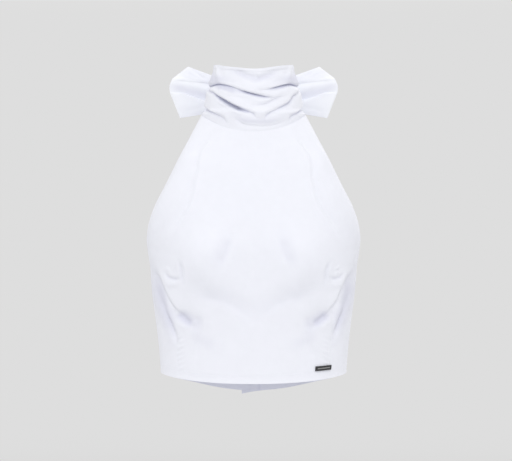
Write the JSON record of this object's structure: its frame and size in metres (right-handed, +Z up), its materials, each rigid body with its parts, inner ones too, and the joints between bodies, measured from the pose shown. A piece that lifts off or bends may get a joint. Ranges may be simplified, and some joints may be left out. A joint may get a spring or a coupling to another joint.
{
  "type": "halter blouse",
  "caption": "Sleeveless cropped halter blouse with a draped funnel collar, a bow tied behind the neck and a low buttoned back, filled out as if worn.",
  "frame": {"origin": "on the axis of the neck, where the draped collar is held by a neck, about 47 mm above the neck seam at the centre front", "axes": "+Z up from hem to collar, -Y the way the front faces, +X to the right of the picture"},
  "size_m": [0.3004, 0.2067, 0.4716],
  "materials": {
    "cotton_front": "plain weave, matt",
    "cotton_back": "plain weave, matt",
    "cotton_collar": "plain weave, matt",
    "cotton_bow": "plain weave, matt",
    "button_resin": "satin",
    "plate_metal": "gunmetal, satin"
  },
  "bodies": {
    "root": {"front": "cotton_front", "back_left": "cotton_back", "back_right": "cotton_back", "collar": "cotton_collar", "bow_knot": "cotton_bow", "bow_loop_left": "cotton_bow", "bow_loop_right": "cotton_bow", "bow_tail_left": "cotton_bow", "bow_tail_right": "cotton_bow", "plate": "plate_metal", "button_1": "button_resin", "button_2": "button_resin", "button_3": "button_resin", "button_4": "button_resin"}
  },
  "joints": []
}
